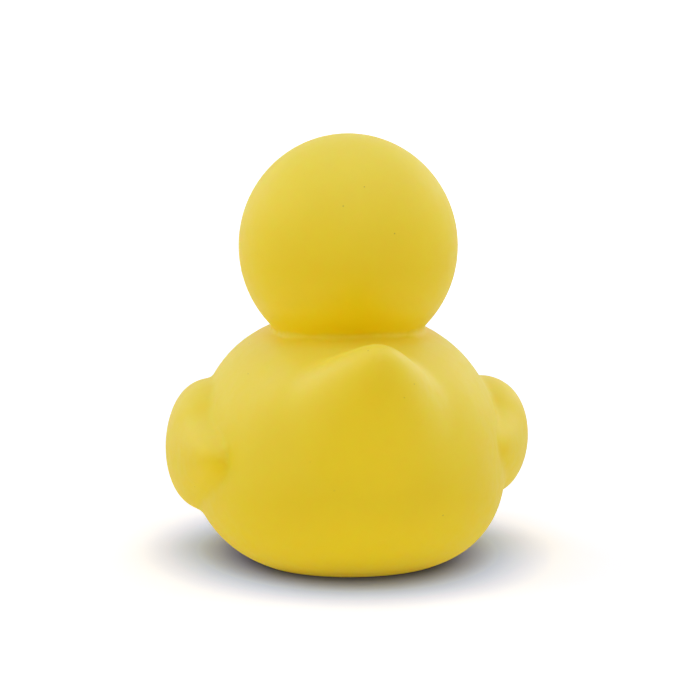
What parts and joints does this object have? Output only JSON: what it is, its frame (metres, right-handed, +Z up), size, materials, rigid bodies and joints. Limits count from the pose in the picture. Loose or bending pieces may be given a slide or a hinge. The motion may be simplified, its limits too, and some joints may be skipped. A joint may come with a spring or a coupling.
{
  "type": "rubber duck",
  "caption": "Squeaking bath duck: a hollow soft vinyl moulding with a round head, raised tail and side wings, and a whistle pressed into its flat base.",
  "frame": {"origin": "centre of the bounding box in X and Y, on the flat base that the duck stands on", "axes": "+Z up, -Y the way the duck faces, +Y towards the tail, +X the duck's left side"},
  "size_m": [0.0712, 0.0825, 0.0827],
  "materials": {
    "yellow_vinyl": "matte soft vinyl, slightly waxy, with an orange painted bill and black painted eyes",
    "white_plastic": "plain moulded polyethylene"
  },
  "bodies": {
    "root": {"duck_body": "yellow_vinyl", "squeaker_cup": "white_plastic", "squeaker_cap": "white_plastic"}
  },
  "joints": []
}
